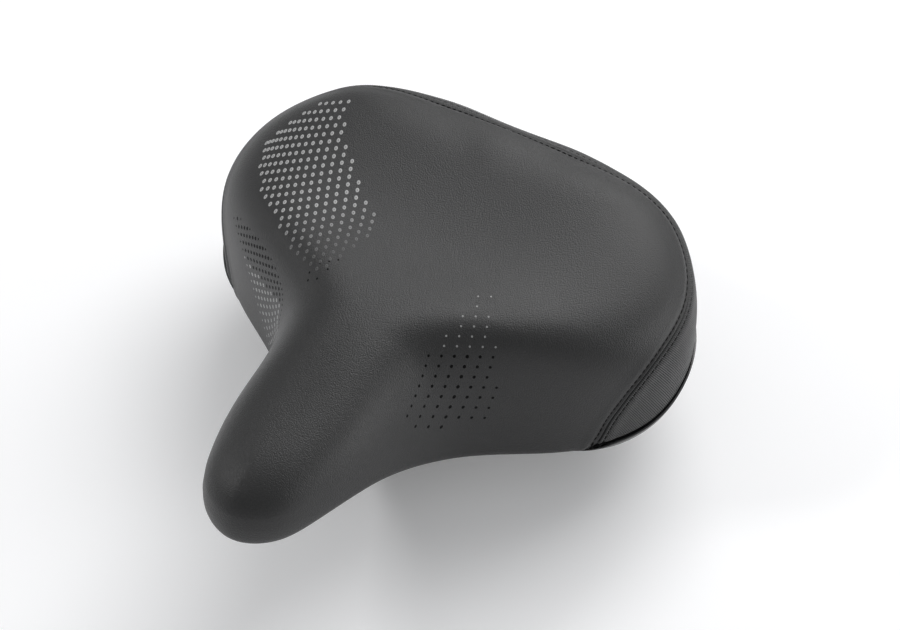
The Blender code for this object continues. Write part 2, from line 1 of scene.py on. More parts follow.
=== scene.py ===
"""Looks of the bicycle saddle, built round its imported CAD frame. Lengths are in millimetres."""

import json
import math

import bmesh
import bpy
import numpy as np
from mathutils import Matrix, Vector
from mathutils.bvhtree import BVHTree


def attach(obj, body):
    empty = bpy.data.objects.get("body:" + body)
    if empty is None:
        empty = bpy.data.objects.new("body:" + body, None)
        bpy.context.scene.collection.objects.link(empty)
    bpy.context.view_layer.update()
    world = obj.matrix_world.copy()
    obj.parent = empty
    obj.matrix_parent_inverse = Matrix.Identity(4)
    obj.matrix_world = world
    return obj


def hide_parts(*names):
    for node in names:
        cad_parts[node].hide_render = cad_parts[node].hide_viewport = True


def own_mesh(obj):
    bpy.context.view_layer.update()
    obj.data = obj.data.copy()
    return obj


MM = 0.001
TOP, UNDER, JOINT = "saddle_top", "undercarriage", "saddle_flex"

# The skin's design, as in the CAD source: plan of the brim and side views.
OUTLINE = [(0, -133), (18, -124), (26, -108.5), (33, -79), (37, -52), (48.5, -23.5), (77, -0.5),
           (101, 17.5), (115.5, 37.5), (118, 66.5), (107, 92), (87, 114), (52, 132), (0, 128)]
BRIM_Z = [(-133, 76), (-72, 66.5), (-20, 40), (23, 39.5), (80, 54), (138, 48.5)]
TOP_Z = [(-112, 101.5), (-72, 105.5), (-22, 111), (28, 106), (83, 110.5), (123, 116.5)]
WING_LIFT = [(-32, 0), (28, 4.5), (78, 4), (138, 4)]
SQUARE = [(-133, 2.65), (-32, 2.65), (8, 3.55), (103, 3.65), (138, 2.2)]
SPINE = [(0, -99), (30, -88), (90, -48.5), (150, -15), (210, 10), (270, 48), (330, 73), (398, 79)]
HEM_TUCK, HEM_DROP, FLAP = 6, 8, 8
SKIN, PLASTIC, GAP = 1.6, 3.0, 0.4
SEAM = [(188, 32), (191.4, 40), (194.4, 48.4), (199.5, 58.4), (204.4, 65.4), (210, 71.2), (216.2, 75.9),
        (223.3, 79.6), (231.3, 82.3), (242.2, 84.7), (254.8, 87), (268, 89.8), (285, 94.6), (302, 101),
        (320, 104.6), (350, 106.4), (398, 107)]
ARCH_Z = [(-82, 73.5), (-30, 65), (50, 61.3), (138, 61.3)]
RIM_INSET, RIM_BELOW = 5.8, 5.7

# The undercarriage, as in the CAD source.
RAIL_D, RAIL_X = 7.0, 22.0
RAIL_FRONT_Y, RAIL_BACK_Y = 4.0, 90.0
PIVOT_Y, PIVOT_Z = -98.0, 68.0
LOOP_X, LOOP_R, RAIL_BEND_R = 10.8, 7.0, 30.0
SPRING_X, SPRING_Y = 50.0, 78.0
SPRING_R, SPRING_WIRE, SPRING_TURNS = 13.9, 4.5, 4.75
BRIDGE_BOTTOM, BRIDGE_T = 7.5, 2.5
SEAT_R, SEAT_T, SEAT_LIP = 18.2, 2.2, 4.4
BOLT_R, BOLT_HOLE_R, HEAD_R, HEAD_H = 3.7, 4.3, 7.0, 3.0
PAD_BOTTOM = 61.3
LOWER_SEAT_BOTTOM = BRIDGE_BOTTOM + BRIDGE_T + 0.3
UPPER_SEAT_TOP = PAD_BOTTOM - 0.3
SPRING_BOTTOM = LOWER_SEAT_BOTTOM + SEAT_T + 0.3
SPRING_TOP = UPPER_SEAT_TOP - SEAT_T - 0.3
# Share of the springs' height that is left when the saddle is pressed down, and how much the top turns
# close in, which leaves the upper cup room to tilt.
SPRING_KEEP, SPRING_NECK = 0.58, 1.9
BUMPER_START, BUMPER_FULL = 177.0, 202.0
FLANGE_REACH, FLANGE_T = 14.0, 2.4
LIP_TOP, LIP_T, LIP_ROOT_T = math.radians(17.5), 0.8, 1.5

# The sewn seam: distances across it, and the pitch of its stitches and of the panel's ribs.
STITCH_PITCH, STITCH_ACROSS, STITCH_R = 3.1, 2.2, 0.36
NEAR_SEAM = (0.12, 0.35, 0.65, 1.0, 1.4, 1.75, 2.05, 2.3, 2.55, 2.85, 3.3, 4.0, 5.0, 6.5, 9.0)
RIB_PITCH, RIB_HEIGHT, RIB_LEAN = 0.9, 0.5, math.radians(30)

# The meshes: stations along the brim, columns along the seam, and rows. HEM_ROWS are drops below the brim.
STATION, FRONT_STATION, COLUMN = 0.62, 1.9, 0.18
CLOSE_FROM = 172
COVER_ROWS, PANEL_ROWS = 58, 8
HEM_ROWS = (-1.2, 0, 0.5, 0.9, 1.3, 1.8, 2.5, 4, 6, 8)
EDGE_RISE = 1.1
# How far in the hem is behind the bumper, as (drop below the brim, depth).
RECESS = [(0.4, 0), (0.8, 0.15), (1.3, 0.7), (2, 1.9), (3, 3), (4.2, 3.6), (6, 2.6), (8, 0)]

# The camera, and the point that the print of dots is laid out from.
AIM = np.array([21.5, 15.6, 80.6])
AZIMUTH, ELEVATION, DISTANCE, LENS = math.radians(29.9), math.radians(48.3), 1102.0, 98.5
BACK = np.array([math.sin(AZIMUTH) * math.cos(ELEVATION), -math.cos(AZIMUTH) * math.cos(ELEVATION),
                 math.sin(ELEVATION)])
RIGHT = np.array([math.cos(AZIMUTH), math.sin(AZIMUTH), 0.0])
UPWARD = np.cross(BACK, RIGHT)


# Curves and the skin.

def spline(points):
    """Natural cubic spline through (t, value) points, carried on past both ends."""
    ts = np.array([p[0] for p in points], float)
    vs = np.array([p[1] for p in points], float)
    count, h = len(ts), np.diff(ts)
    a, b = np.eye(count), np.zeros(vs.shape)
    for i in range(1, count - 1):
        a[i, i - 1:i + 2] = h[i - 1], 2 * (h[i - 1] + h[i]), h[i]
        b[i] = 6 * ((vs[i + 1] - vs[i]) / h[i] - (vs[i] - vs[i - 1]) / h[i - 1])
    m = np.linalg.solve(a, b)

    def at(t):
        t = np.asarray(t, float)
        i = np.clip(np.searchsorted(ts, t) - 1, 0, count - 2)
        grow = (...,) + (None,) * (vs.ndim - 1)
        u, v, w = (t - ts[i])[grow], (ts[i + 1] - t)[grow], h[i][grow]
        return (m[i] * v**3 + m[i + 1] * u**3) / (6 * w) + (vs[i] / w - m[i] * w / 6) * v \
            + (vs[i + 1] / w - m[i + 1] * w / 6) * u

    return at


def eased(points, y):
    """Value at y of (y, value) points joined by smooth steps, level past both ends."""
    ys = np.array([p[0] for p in points], float)
    vs = np.array([p[1] for p in points], float)
    y = np.clip(y, ys[0], ys[-1])
    i = np.clip(np.searchsorted(ys, y) - 1, 0, len(ys) - 2)
    t = (y - ys[i]) / (ys[i + 1] - ys[i])
    return vs[i] + (vs[i + 1] - vs[i]) * t * t * (3 - 2 * t)


def brim_curve():
    """Fine points along the brim's right half, their outward normals and their distances along it."""
    half = np.array(OUTLINE, float)
    mirrored = half * (-1, 1)
    points = np.vstack([mirrored[4:0:-1], half, mirrored[-2:-6:-1]])
    steps = np.linalg.norm(np.diff(points, axis=0), axis=1) ** 0.75
    knots = np.concatenate([[0], np.cumsum(steps)])
    curve = spline(list(zip(knots, points)))
    plan = curve(np.linspace(knots[4], knots[3 + len(half)], 4000))
    along = np.concatenate([[0], np.cumsum(np.linalg.norm(np.diff(plan, axis=0), axis=1))])
    tangent = np.gradient(plan, axis=0)
    normal = np.stack([tangent[:, 1], -tangent[:, 0]], 1)
    normal /= np.linalg.norm(normal, axis=1)[:, None]
    normal[0], normal[-1] = (0, -1), (0, 1)
    return plan, normal, along


BRIM, BRIM_NORMAL, BRIM_S = brim_curve()
BRIM_LENGTH = BRIM_S[-1]
brim_z, top_z, seam_z, spine_y = spline(BRIM_Z), spline(TOP_Z), spline(SEAM), spline(SPINE)


def brim_at(s):
    """Plan point and outward normal at distance s along the brim."""
    point = np.stack([np.interp(s, BRIM_S, BRIM[:, k]) for k in (0, 1)], -1)
    normal = np.stack([np.interp(s, BRIM_S, BRIM_NORMAL[:, k]) for k in (0, 1)], -1)
    return point, normal / np.linalg.norm(normal, axis=-1)[..., None]


def seam_start():
    """Where along the brim the seam leaves the bottom of the hem."""
    s = np.linspace(SEAM[0][0] - 5, SEAM[0][0] + 5, 2001)
    return float(s[np.argmax(seam_z(s) > brim_z(brim_at(s)[0][:, 1]) - HEM_DROP)])


SEAM_START = seam_start()


def skin_point(s, q):
    """Point of the outer skin at distance s along the brim and height step q.

    Step 0 is the flap's edge, 1 the bottom of the hem, 2 the brim and 3 the middle line.
    """
    s, q = np.broadcast_arrays(np.asarray(s, float), np.asarray(q, float))
    point, normal = brim_at(s)
    y = point[..., 1]
    base, power, lift = brim_z(y), eased(SQUARE, y), eased(WING_LIFT, y)
    angle = np.clip(q - 2, 0, 1) * math.pi / 2
    out = np.maximum(np.cos(angle), 0) ** (2 / power)
    out = np.where(q >= 3, 0, out)
    up = np.sin(angle) ** (2 / power)
    spine = np.stack([0 * s, spine_y(s)], -1)
    plan = spine + (point - spine) * out[..., None]
    height = base + (top_z(plan[..., 1]) + lift * out**2 - base) * up
    hem = np.clip(2 - q, 0, 1) * math.pi / 2
    tuck = HEM_TUCK * (1 - np.cos(hem)) + FLAP * np.clip(1 - q, 0, 1)
    plan = plan - normal * tuck[..., None]
    return np.concatenate([plan, (height - HEM_DROP * np.sin(hem))[..., None]], -1)


def skin_normal(s, q):
    """Outward normal of the skin, from small steps along and across it."""
    q = np.clip(q, 0.02, 2.98)
    along = skin_point(s + 0.5, q) - skin_point(s - 0.5, q)
    across = skin_point(s, q + 0.01) - skin_point(s, q - 0.01)
    normal = np.cross(along, across)
    return normal / np.linalg.norm(normal, axis=-1)[..., None]


def step_at_height(s, z):
    """Height step at which the skin first reaches height z, by halving."""
    low, high = np.ones(s.shape), np.full(s.shape, 2.8)
    for _ in range(30):
        middle = (low + high) / 2
        under = skin_point(s, middle)[..., 2] < z
        low, high = np.where(under, middle, low), np.where(under, high, middle)
    return low


def lengths(points):
    """Distance along a line of points."""
    return np.concatenate([[0], np.cumsum(np.linalg.norm(np.diff(points, axis=0), axis=1))])


def seam_line():
    """Fine stations of the seam, and its length and points at each."""
    s = np.linspace(SEAM_START, BRIM_LENGTH, 1600)
    points = skin_point(s, step_at_height(s, seam_z(s)))
    return s, lengths(points), points


SEAM_S, SEAM_ALONG, SEAM_POINTS = seam_line()


def fine_steps(s, first):
    """Height steps of station s from first to the middle line, close enough together to measure along."""
    power = eased(SQUARE, brim_at(s)[0][..., 1])
    out = 1 - np.linspace(0, 1, 160) ** 2
    over = 2 + np.arccos(out ** (power / 2)) * 2 / math.pi
    steps = np.concatenate([np.linspace(1, 2, 60, endpoint=False), over])
    return np.concatenate([[first], steps[steps > first + 1e-6]])


# Meshes.

def new_object(name, mesh, shader, body, smooth=60):
    """A smooth-shaded piece that rides on a body; edges over the angle smooth stay sharp."""
    made = bpy.data.objects.new(name, mesh)
    bpy.context.scene.collection.objects.link(made)
    mesh.materials.append(shader)
    mesh.shade_smooth()
    mesh.set_sharp_from_angle(angle=math.radians(smooth))
    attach(made, body)
    return made


def weld_middle(mesh):
    """Joins the two halves of a mirrored mesh along the plane of symmetry."""
    work = bmesh.new()
    work.from_mesh(mesh)
    middle = [v for v in work.verts if abs(v.co.x) < 0.02 * MM]
    for v in middle:
        v.co.x = 0
    bmesh.ops.remove_doubles(work, verts=middle, dist=0.02 * MM)
    bmesh.ops.dissolve_degenerate(work, edges=work.edges, dist=0.001 * MM)
    work.to_mesh(mesh)
    work.free()


def grid_mesh(name, grid, ring=False, flip=False, tone=None):
    """Mesh over a half grid of points and its mirror image; ring joins the last column to the first.

    A tone for each point goes into the mesh's tone attribute; the ribbed panel uses it for painted shade in
    its grooves.
    """
    rows, cols = grid.shape[:2]
    index = np.arange(rows * cols).reshape(rows, cols)
    if ring:
        index = np.concatenate([index, index[:, :1]], 1)
    quads = np.stack([index[:-1, :-1], index[1:, :-1], index[1:, 1:], index[:-1, 1:]], -1).reshape(-1, 4)
    if flip:
        quads = quads[:, ::-1]
    points = grid.reshape(-1, 3)
    points = np.concatenate([points, points * (-1, 1, 1)])
    faces = np.concatenate([quads, quads[:, ::-1] + rows * cols])
    mesh = bpy.data.meshes.new(name)
    mesh.from_pydata((points * MM).tolist(), [], faces.tolist())
    if tone is not None:
        mesh.attributes.new("tone", "FLOAT", "POINT").data.foreach_set("value", np.tile(tone.ravel(), 2))
    weld_middle(mesh)
    return mesh


def outward(grid, distance):
    """The grid moved along its own normals."""
    normal = np.cross(np.gradient(grid, axis=0), np.gradient(grid, axis=1))
    normal[grid[..., 0] < 0.02, 0] = 0
    length = np.linalg.norm(normal, axis=-1)[..., None]
    return grid + np.where(length > 1e-6, normal / np.maximum(length, 1e-6), (0, 0, 1)) * distance


def swept(points, radius, sides=10, normals=None):
    """Points and faces of a round tube along a line, its ends closed."""
    points = np.asarray(points, float)
    tangent = np.gradient(points, axis=0)
    tangent /= np.linalg.norm(tangent, axis=1)[:, None]
    radius = np.broadcast_to(radius, len(points))
    side = np.cross(tangent[0], (0.3, 0.2, 1) if normals is None else normals[0])
    rings = []
    for p, t, r in zip(points, tangent, radius):
        side = side - t * (side @ t)
        side /= np.linalg.norm(side)
        other = np.cross(t, side)
        turn = np.linspace(0, 2 * math.pi, sides, endpoint=False)[:, None]
        rings.append(p + r * (side * np.cos(turn) + other * np.sin(turn)))
    n = len(points)
    index = np.arange(n * sides).reshape(n, sides)
    nxt = np.roll(index, -1, 1)
    faces = np.stack([index[:-1], nxt[:-1], nxt[1:], index[1:]], -1).reshape(-1, 4).tolist()
    faces += [index[0, ::-1].tolist(), index[-1].tolist()]
    return np.concatenate(rings), faces


def joined(name, parts):
    """One mesh from many (points, faces) in millimetres."""
    points, faces, first = [], [], 0
    for part, its_faces in parts:
        points.append(part)
        faces += [[first + i for i in face] for face in its_faces]
        first += len(part)
    mesh = bpy.data.meshes.new(name)
    mesh.from_pydata((np.concatenate(points) * MM).tolist(), [], faces)
    return mesh


def bevel(obj, width, segments=2, angle=35):
    made = obj.modifiers.new("Bevel", "BEVEL")
    made.width = width * MM
    made.segments = segments
    made.limit_method = "ANGLE"
    made.angle_limit = math.radians(angle)
    made.harden_normals = False


# Materials.

def principled(name, colour, roughness, metallic=0.0, **sockets):
    """A material, its node tree and its shader. Sockets are the shader's own, with _ for a space."""
    made = bpy.data.materials.new(name)
    made.use_nodes = True
    tree = made.node_tree
    shader = tree.nodes["Principled BSDF"]
    shader.inputs["Base Color"].default_value = (*colour, 1)
    shader.inputs["Roughness"].default_value = roughness
    shader.inputs["Metallic"].default_value = metallic
    for key, value in sockets.items():
        shader.inputs[key.replace("_", " ")].default_value = value
    return made, tree, shader


def node(tree, kind, inputs=(), **settings):
    """A node with settings, and inputs as (socket, value or the output that feeds it)."""
    made = tree.nodes.new(kind)
    for key, value in settings.items():
        setattr(made, key, value)
    for socket, value in inputs:
        if isinstance(value, bpy.types.NodeSocket):
            tree.links.new(value, made.inputs[socket])
        else:
            made.inputs[socket].default_value = value
    return made


def place(tree):
    """Where a point is on the piece, in metres."""
    return node(tree, "ShaderNodeTexCoord").outputs["Object"]


def noise(tree, scale, detail=3.0):
    return node(tree, "ShaderNodeTexNoise",
                [("Vector", place(tree)), ("Scale", scale), ("Detail", detail)]).outputs[0]


def ranged(tree, value, low, high):
    """A 0 to 1 value moved to run from low to high."""
    return node(tree, "ShaderNodeMapRange", [("Value", value), ("To Min", low), ("To Max", high)]).outputs[0]


def mixed(tree, factor, a, b):
    """Colour between a and b, each a colour or an output."""
    made = node(tree, "ShaderNodeMix", [(0, factor)], data_type="RGBA")
    for socket, value in ((6, a), (7, b)):
        if isinstance(value, bpy.types.NodeSocket):
            tree.links.new(value, made.inputs[socket])
        else:
            made.inputs[socket].default_value = (*value, 1)
    return made.outputs[2]


def toned(colour, share):
    return tuple(c * share for c in colour)


def bumped(tree, shader, height, distance, strength=1.0):
    """Bumps of a height map, distance millimetres high."""
    made = node(tree, "ShaderNodeBump",
                [("Height", height), ("Distance", distance * MM), ("Strength", strength)])
    tree.links.new(made.outputs[0], shader.inputs["Normal"])


def cells(tree, size):
    """Rounded cells about size millimetres across: 0 in the middle of each."""
    made = node(tree, "ShaderNodeTexVoronoi", [("Vector", place(tree)), ("Scale", 1 / (size * MM))],
                feature="SMOOTH_F1")
    made.inputs["Smoothness"].default_value = 0.6
    return made.outputs["Distance"]


def grained(name, colour, roughness, grain, depth, ribs=False, **sockets):
    """Synthetic leather: fine pebble grain, faint mottling, painted shade in the hollows between the pebbles
    and a few smoother, rubbed patches. With ribs, painted shade also darkens the grooves between the panel's
    ribs.
    """
    made, tree, shader = principled(name, colour, roughness, **sockets)
    broad, fine = noise(tree, 11, 4), noise(tree, 2600, 2)
    speck = node(tree, "ShaderNodeMapRange", [("Value", noise(tree, 1 / (0.5 * MM), 1)), ("From Min", 0.3),
                                              ("From Max", 0.7)]).outputs[0]
    pebble = cells(tree, grain)
    tone = mixed(tree, broad, toned(colour, 0.88), toned(colour, 1.12))
    # Painted shade: the colour darkens towards half in the hollows between the pebbles, where the bump sinks.
    tone = mixed(tree, ranged(tree, pebble, 0, 0.5), tone, toned(colour, 0.5))
    tone = mixed(tree, ranged(tree, speck, 0.5, 0), tone, toned(colour, 1.9))
    # Painted shade in the grooves between the ribs: where the tone attribute falls to 0, the colour drops to
    # 0.12 of its own.
    if ribs:
        ridge = node(tree, "ShaderNodeAttribute", attribute_name="tone").outputs["Fac"]
        tone = mixed(tree, ridge, toned(colour, 0.12), tone)
    tree.links.new(tone, shader.inputs["Base Color"])
    tree.links.new(ranged(tree, broad, roughness - 0.06, roughness + 0.06), shader.inputs["Roughness"])
    height = node(tree, "ShaderNodeMath", [(0, fine), (1, pebble)], operation="SUBTRACT").outputs[0]
    bumped(tree, shader, height, depth)
    return made


def moulded(name, colour, roughness, grain=0.5, depth=0.05, **sockets):
    """Moulded plastic with a spark-eroded texture."""
    made, tree, shader = principled(name, colour, roughness, **sockets)
    broad, fine = noise(tree, 24, 3), noise(tree, 1 / (grain * MM), 3)
    tree.links.new(mixed(tree, broad, toned(colour, 0.85), toned(colour, 1.2)), shader.inputs["Base Color"])
    tree.links.new(ranged(tree, broad, roughness * 0.85, roughness * 1.15), shader.inputs["Roughness"])
    bumped(tree, shader, fine, depth)
    return made


def coated(name, colour, roughness, metallic=0.0, peel=0.03, **sockets):
    """Painted or powder-coated steel with a faint orange peel."""
    made, tree, shader = principled(name, colour, roughness, metallic, **sockets)
    peel_map, broad = noise(tree, 420, 2), noise(tree, 35, 3)
    tree.links.new(mixed(tree, broad, toned(colour, 0.8), toned(colour, 1.25)), shader.inputs["Base Color"])
    tree.links.new(ranged(tree, broad, roughness * 0.8, roughness * 1.2), shader.inputs["Roughness"])
    bumped(tree, shader, peel_map, peel)
    return made


def plated(name, colour, roughness):
    """Zinc-plated steel: cloudy tone and fine scratches."""
    made, tree, shader = principled(name, colour, roughness, 1.0)
    cloudy, scratch = noise(tree, 160, 4), noise(tree, 1800, 2)
    tree.links.new(mixed(tree, cloudy, toned(colour, 0.72), toned(colour, 1.05)), shader.inputs["Base Color"])
    tree.links.new(ranged(tree, cloudy, roughness * 0.75, roughness * 1.3), shader.inputs["Roughness"])
    bumped(tree, shader, scratch, 0.02)
    return made


def printed(name, roughness):
    """Material of the silver dots: tone and gloss from an attribute, with a slightly worn face. The tone is
    painted light and shade: light grey for dots that catch the light, near black for dots in shade.
    """
    made, tree, shader = principled(name, (0.5, 0.5, 0.5), roughness)
    painted_dot_light = node(tree, "ShaderNodeAttribute", attribute_name="painted_dot_light").outputs["Fac"]
    worn = ranged(tree, noise(tree, 1500, 2), 0.8, 1.1)
    tone = node(tree, "ShaderNodeMath", [(0, painted_dot_light), (1, worn)], operation="MULTIPLY").outputs[0]
    # Painted light and shade: each dot's grey runs from near black to light grey with its attribute.
    tree.links.new(mixed(tree, tone, (0.002, 0.002, 0.002), (0.42, 0.42, 0.42)), shader.inputs["Base Color"])
    tree.links.new(ranged(tree, painted_dot_light, 0.06, 0.5), shader.inputs["Specular IOR Level"])
    return made


def twisted(name, colour):
    """Sewing thread with its twist, painted lighter on the twist's ridges and darker in its grooves."""
    made, tree, shader = principled(name, colour, 0.7, Specular_IOR_Level=0.15)
    wave = node(tree, "ShaderNodeTexWave", [("Vector", place(tree)), ("Scale", 900.0), ("Distortion", 2.0)],
                bands_direction="DIAGONAL").outputs["Fac"]
    # Painted light and shade on the twist: the waves that give its bump also lighten the colour on the ridges
    # and darken it in the grooves.
    tree.links.new(mixed(tree, wave, toned(colour, 0.6), toned(colour, 1.5)), shader.inputs["Base Color"])
    bumped(tree, shader, wave, 0.08)
    return made


def foamy(name, colour):
    """Cut polyurethane foam: open pores and a yellowed tone."""
    made, tree, shader = principled(name, colour, 0.95)
    pores = cells(tree, 0.9)
    tree.links.new(mixed(tree, pores, toned(colour, 1.05), toned(colour, 0.6)), shader.inputs["Base Color"])
    bumped(tree, shader, pores, 0.3)
    return made


LEATHER = grained("pu_leather", (0.015, 0.015, 0.0153), 0.46, 0.6, 0.13)
# The ribbed panel's material, with painted shade in the grooves between its ribs.
PANEL = grained("ribbed_leather_groove_shade", (0.056, 0.056, 0.0565), 0.48, 0.5, 0.05, ribs=True)
THREAD = twisted("black_thread", (0.004, 0.004, 0.004))
# The dots' material, whose grey is painted light and shade.
DOT_PAINTED_LIGHT = printed("dot_print_painted_light", 0.42)
FOAM = foamy("pu_foam", (0.72, 0.69, 0.58))
PAN = moulded("shell_plastic_fine", (0.022, 0.022, 0.023), 0.48, 0.6, 0.07)
GLOSS = moulded("gloss_plastic_fine", (0.07, 0.07, 0.071), 0.24, 6.0, 0.02, Specular_IOR_Level=0.42)
BLACK_STEEL = coated("black_steel_fine", (0.018, 0.018, 0.019), 0.34, 0.2)
SPRING_STEEL = coated("spring_steel_fine", (0.02, 0.02, 0.021), 0.26, 0.3, Coat_Weight=0.3)
ZINC = plated("zinc_steel_fine", (0.62, 0.63, 0.66), 0.32)
STAPLE = plated("staple_steel", (0.7, 0.7, 0.71), 0.25)


# The cover.

def stitch_wave(along):
    """1 where a stitch goes through the skin, 0 halfway along it."""
    return 0.5 + 0.5 * np.cos(2 * math.pi * along / STITCH_PITCH)


def seam_relief(across, along):
    """How far the skin stands out at a distance across the seam: crease, folded edge, stitches, swell."""
    crease = -1.3 * np.exp(-(across / 0.28) ** 2)
    edge = 0.42 * np.exp(-((across - 0.95) / 0.5) ** 2)
    stitches = -(0.26 + 0.12 * stitch_wave(along)) * np.exp(-((across - STITCH_ACROSS) / 0.42) ** 2)
    swell = 0.42 * np.exp(-((across - 4.6) / 1.9) ** 2)
    return crease + edge + stitches + swell


def seam_distance(points):
    """Distance of each point from the seam carried on past the hem, and its length along the seam."""
    lead = SEAM_POINTS[0] + (SEAM_POINTS[0] - SEAM_POINTS[30]) * np.linspace(6, 0.1, 60)[:, None]
    line = np.concatenate([lead, SEAM_POINTS])
    along = np.concatenate([-np.linalg.norm(lead - SEAM_POINTS[0], axis=1), SEAM_ALONG])
    distance, length = np.empty(len(points)), np.empty(len(points))
    for i, p in enumerate(points):
        gaps = np.linalg.norm(line - p, axis=1)
        k = int(gaps.argmin())
        distance[i], length[i] = gaps[k], along[k]
    return distance, length


def recessed(s, grid):
    """The points of the hem pulled in behind the bumper's lip, more and more from its tip back."""
    point, normal = brim_at(s)
    drop = brim_z(point[..., 1]) - grid[..., 2]
    depth = np.interp(drop, *np.transpose(RECESS)) * eased([(SEAM_START - 3, 0), (SEAM_START + 6, 1)], s)
    return grid - np.concatenate([normal * depth[..., None], 0 * depth[..., None]], -1)


def cover_steps(s):
    """Height steps of one station of the cover, from its lower edge to the middle line."""
    first = float(step_at_height(np.array([s]), seam_z(s))[0]) if s > SEAM_START else 1.0
    steps = fine_steps(s, first)
    along = lengths(skin_point(s, steps))
    slope = seam_z(max(s, SEAM_START) + 0.5) - seam_z(max(s, SEAM_START) - 0.5)
    sine = 1 / math.sqrt(1 + slope**2)
    near = np.array(NEAR_SEAM) / max(sine, 0.3)
    rest = np.linspace(near[-1], along[-1], COVER_ROWS + 1)[1:]
    return np.interp(np.concatenate([near, rest]), along, steps)


def cover_grid():
    """Stations and height steps of the cover's right half."""
    front = np.linspace(0, CLOSE_FROM, round(CLOSE_FROM / FRONT_STATION), endpoint=False)
    back = np.linspace(CLOSE_FROM, BRIM_LENGTH, round((BRIM_LENGTH - CLOSE_FROM) / STATION))
    s = np.concatenate([front, back])
    q = np.array([cover_steps(each) for each in s])
    return s, q


def make_cover():
    """The cover with its seam, its hem and the flap that turns in under the base."""
    s, q = cover_grid()
    grid, normal = skin_point(s[:, None], q), skin_normal(s[:, None], q)
    relief = np.zeros(q.shape)
    close = (s > 174)[:, None] & (np.arange(q.shape[1]) < 26)[None, :]
    across, along = seam_distance(grid[close])
    relief[close] = seam_relief(across, along)
    normal[grid[..., 0] < 0.02, 0] = 0
    top = recessed(s[:, None], grid + normal * relief[..., None])
    ahead = s <= SEAM_START
    hem = np.broadcast_to(np.linspace(0, 1, 7)[None, :-1], (ahead.sum(), 6))
    flap = recessed(s[ahead][:, None], skin_point(s[ahead][:, None], hem))
    lip = flap[:, :3] + (0, 0, EDGE_RISE)
    mesh = grid_mesh("cover_skin", top)
    under = grid_mesh("cover_flap", np.concatenate([lip[:, ::-1], flap, top[ahead][:, :1]], 1))
    work = bmesh.new()
    work.from_mesh(mesh)
    work.from_mesh(under)
    bmesh.ops.remove_doubles(work, verts=work.verts, dist=0.01 * MM)
    work.to_mesh(mesh)
    work.free()
    cover = new_object("padded_cover", mesh, LEATHER, TOP)
    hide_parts("top_cover")
    return cover


# The ribbed panel.

def rib_lean(s):
    """How far a rib leans back from upright: less and less towards the middle of the back."""
    return RIB_LEAN * (1 - np.clip((s - 250) / (BRIM_LENGTH - 250), 0, 1))


def panel_step(s0, t):
    """Station and height step a distance t down the rib that starts on the seam at s0."""
    lean = rib_lean(s0)
    s = s0 + t * np.sin(lean)
    return s, step_at_height(s, seam_z(s0) - t * np.cos(lean))


def rib_length(s0):
    """Length of each rib from the seam to the bottom of the hem, by halving."""
    low, high = np.zeros(s0.shape), np.full(s0.shape, 90.0)
    for _ in range(24):
        t = (low + high) / 2
        lean = rib_lean(s0)
        y = brim_at(s0 + t * np.sin(lean))[0][..., 1]
        above = seam_z(s0) - t * np.cos(lean) > brim_z(y) - HEM_DROP + 0.02
        low, high = np.where(above, t, low), np.where(above, high, t)
    return low


def rib_sine(s0):
    """Sine of the angle between the seam and the rib, in the unrolled panel."""
    slope = seam_z(s0 + 0.5) - seam_z(s0 - 0.5)
    lean = rib_lean(s0)
    return (np.cos(lean) + slope * np.sin(lean)) / np.sqrt(1 + slope**2)


def panel_columns():
    """Where the panel's columns start on the seam: an even distance apart, measured across the ribs."""
    middle = (SEAM_S[1:] + SEAM_S[:-1]) / 2
    width = np.concatenate([[0], np.cumsum(np.diff(SEAM_ALONG) * rib_sine(middle))])
    count = round((width[-1] - 0.8) / COLUMN)
    w = np.linspace(0.8, width[-1], count)
    return w - width[-1], np.interp(w, width, SEAM_S), np.interp(w, width, SEAM_ALONG)


def make_panel():
    """The ribbed panel, from the seam down to its own turned-in flap."""
    w, s0, along = panel_columns()
    length, sine = rib_length(s0), rib_sine(s0)
    near = np.array(NEAR_SEAM)[None, :] / sine[:, None]
    low = np.minimum(HEM_DROP - HEM_ROWS[0], 0.6 * length * np.cos(rib_lean(s0)))[:, None]
    low = low * (HEM_DROP - np.array(HEM_ROWS)) / (HEM_DROP - HEM_ROWS[0])
    low = length[:, None] - low / np.cos(rib_lean(s0))[:, None]
    near *= np.minimum(1, 0.9 * low[:, :1] / near[:, -1:])
    share = np.linspace(0, 1, PANEL_ROWS + 1)[None, 1:-1]
    t = np.concatenate([near, near[:, -1:] + (low[:, :1] - near[:, -1:]) * share, low], 1)
    s, q = panel_step(s0[:, None], t)
    q[:, -1] = 1
    grid, normal = skin_point(s, q), skin_normal(s, q)
    normal[s >= BRIM_LENGTH - 0.01, 0] = 0
    ridge = np.sqrt(np.abs(np.cos(math.pi * w / RIB_PITCH)))
    fade = np.clip(t / 0.8, 0, 1) * np.where(np.arange(t.shape[1]) == t.shape[1] - 1, 0.4, 1)
    relief = seam_relief(t * sine[:, None], along[:, None]) + RIB_HEIGHT * (ridge[:, None] - 0.6) * fade
    wall = grid + normal * relief[..., None]
    wall = recessed(s, wall)
    hem = skin_point(s[:, -1:], np.linspace(1, 0, 6)[None, 1:])
    lip = hem[:, -1:] + (0, 0, EDGE_RISE)
    # Painted shade for the grooves between the ribs: 1 on each rib's crest and 0 in each groove, for the
    # panel's material to darken by.
    tone = np.repeat((ridge**2)[:, None], wall.shape[1] + 6, 1).astype(np.float32)
    mesh = grid_mesh("panel_skin", np.concatenate([wall, hem, lip], 1), flip=True, tone=tone)
    panel = new_object("ribbed_panel_skin", mesh, PANEL, TOP)
    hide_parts("rear_panel")
    return panel


# The stitches.

